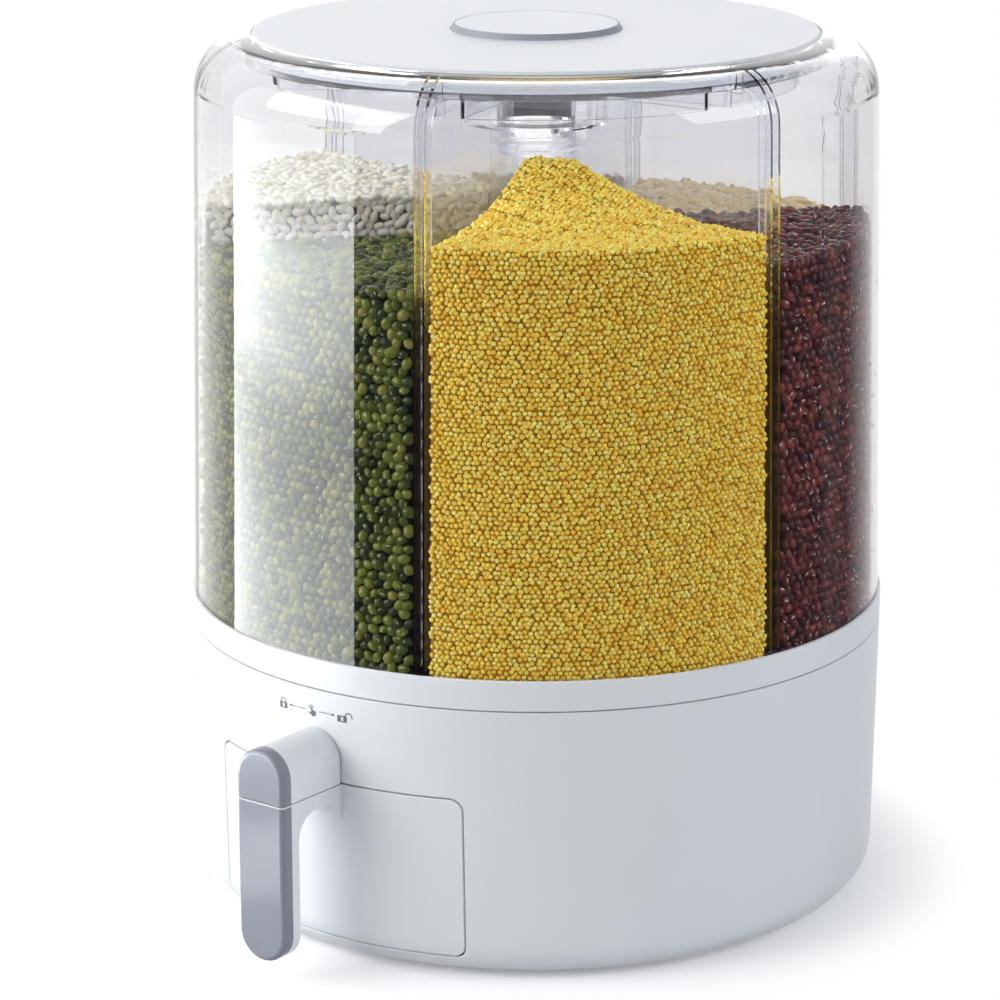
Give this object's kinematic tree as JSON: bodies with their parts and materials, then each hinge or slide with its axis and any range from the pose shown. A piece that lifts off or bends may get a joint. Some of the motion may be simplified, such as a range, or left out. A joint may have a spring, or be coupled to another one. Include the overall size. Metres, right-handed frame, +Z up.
{
  "type": "rotating grain dispenser",
  "caption": "Round countertop dry grain dispenser: clear barrel of wedge compartments turning on a white base, lift-off lid, serving lever and pull-out drawer.",
  "frame": {"origin": "on the barrel's axis, at the level the rubber feet stand on", "axes": "+Z up along the barrel's axis, -Y towards the handle and drawer, +X to the right as seen from the front"},
  "size_m": [0.302, 0.338, 0.3769],
  "materials": {
    "white_plastic": "smooth satin moulded plastic",
    "clear_plastic": "clear polished plastic",
    "grey_plastic": "smooth blue grey plastic, soft gloss",
    "grey_silicone": "soft matt silicone",
    "inner_plastic": "plain matt moulded plastic",
    "black_rubber": "matt rubber",
    "steel": "turned steel",
    "bush_plastic": "slippery natural acetal",
    "mung_beans": "small glossy green beans",
    "millet": "fine matt golden millet",
    "adzuki_beans": "glossy dark red beans",
    "oats": "matt beige grain",
    "buckwheat": "matt grey brown grain",
    "white_beans": "satin ivory beans"
  },
  "bodies": {
    "base": {"base_shell": "white_plastic", "base_plate": "inner_plastic", "rubber_feet": "black_rubber", "base_screws": "steel", "deck": "inner_plastic", "deck_screws": "steel", "outlet_seal": "grey_silicone", "chute": "inner_plastic", "chute_screws": "steel", "gate_pivot_pin": "steel", "spindle": "steel", "spindle_washer": "steel", "spindle_screw": "steel", "lower_race": "steel"},
    "bearing": {"ball_cage": "bush_plastic", "bearing_balls": "steel"},
    "rotor": {"hub_bush": "bush_plastic", "upper_race": "steel", "tray": "white_plastic", "barrel": "clear_plastic", "divider_insert": "clear_plastic", "mung_bean_fill": "mung_beans", "millet_fill": "millet", "adzuki_bean_fill": "adzuki_beans", "oat_fill": "oats", "buckwheat_fill": "buckwheat", "white_bean_fill": "white_beans"},
    "lid": {"lid_cover": "white_plastic", "lid_inner": "clear_plastic", "lid_seal": "grey_silicone"},
    "button": {"button_ring": "grey_plastic", "button_cap": "white_plastic", "button_stem": "clear_plastic"},
    "lever": {"lever_arm": "white_plastic", "lever_cap": "grey_plastic", "lever_carrier": "inner_plastic", "lever_screw": "steel"},
    "gate": {"gate": "inner_plastic"},
    "drawer": {"drawer_front": "white_plastic", "drawer_grip": "grey_plastic", "drawer_box": "white_plastic", "drawer_screws": "steel"}
  },
  "joints": [
    {"name": "barrel_spin", "type": "hinge", "parent": "base", "child": "rotor", "pos_m": [0, 0, 0], "axis": [0, 0, 1], "continuous": true},
    {"name": "ball_cage_spin", "type": "hinge", "parent": "base", "child": "bearing", "pos_m": [0, 0, 0], "axis": [0, 0, 1], "continuous": true},
    {"name": "lid_lift", "type": "slide", "parent": "rotor", "child": "lid", "axis": [0, 0, 1], "range_m": [0, 0.1]},
    {"name": "button_pop", "type": "slide", "parent": "lid", "child": "button", "axis": [0, 0, 1], "range_m": [0, 0.01]},
    {"name": "lever_swing", "type": "hinge", "parent": "base", "child": "lever", "pos_m": [0, 0, 0], "axis": [0, 0, 1], "range_deg": [-2.8, 2.8]},
    {"name": "gate_swing", "type": "hinge", "parent": "base", "child": "gate", "pos_m": [0, -0.126, 0.0923], "axis": [0, 0, 1], "range_deg": [-30.8, 30.8]},
    {"name": "drawer_slide", "type": "slide", "parent": "base", "child": "drawer", "axis": [0, -1, 0], "range_m": [0, 0.1]}
  ],
  "couplings": [
    {"joint": "ball_cage_spin", "follows": "barrel_spin", "ratio": 0.5},
    {"joint": "gate_swing", "follows": "lever_swing", "ratio": 10.8}
  ]
}
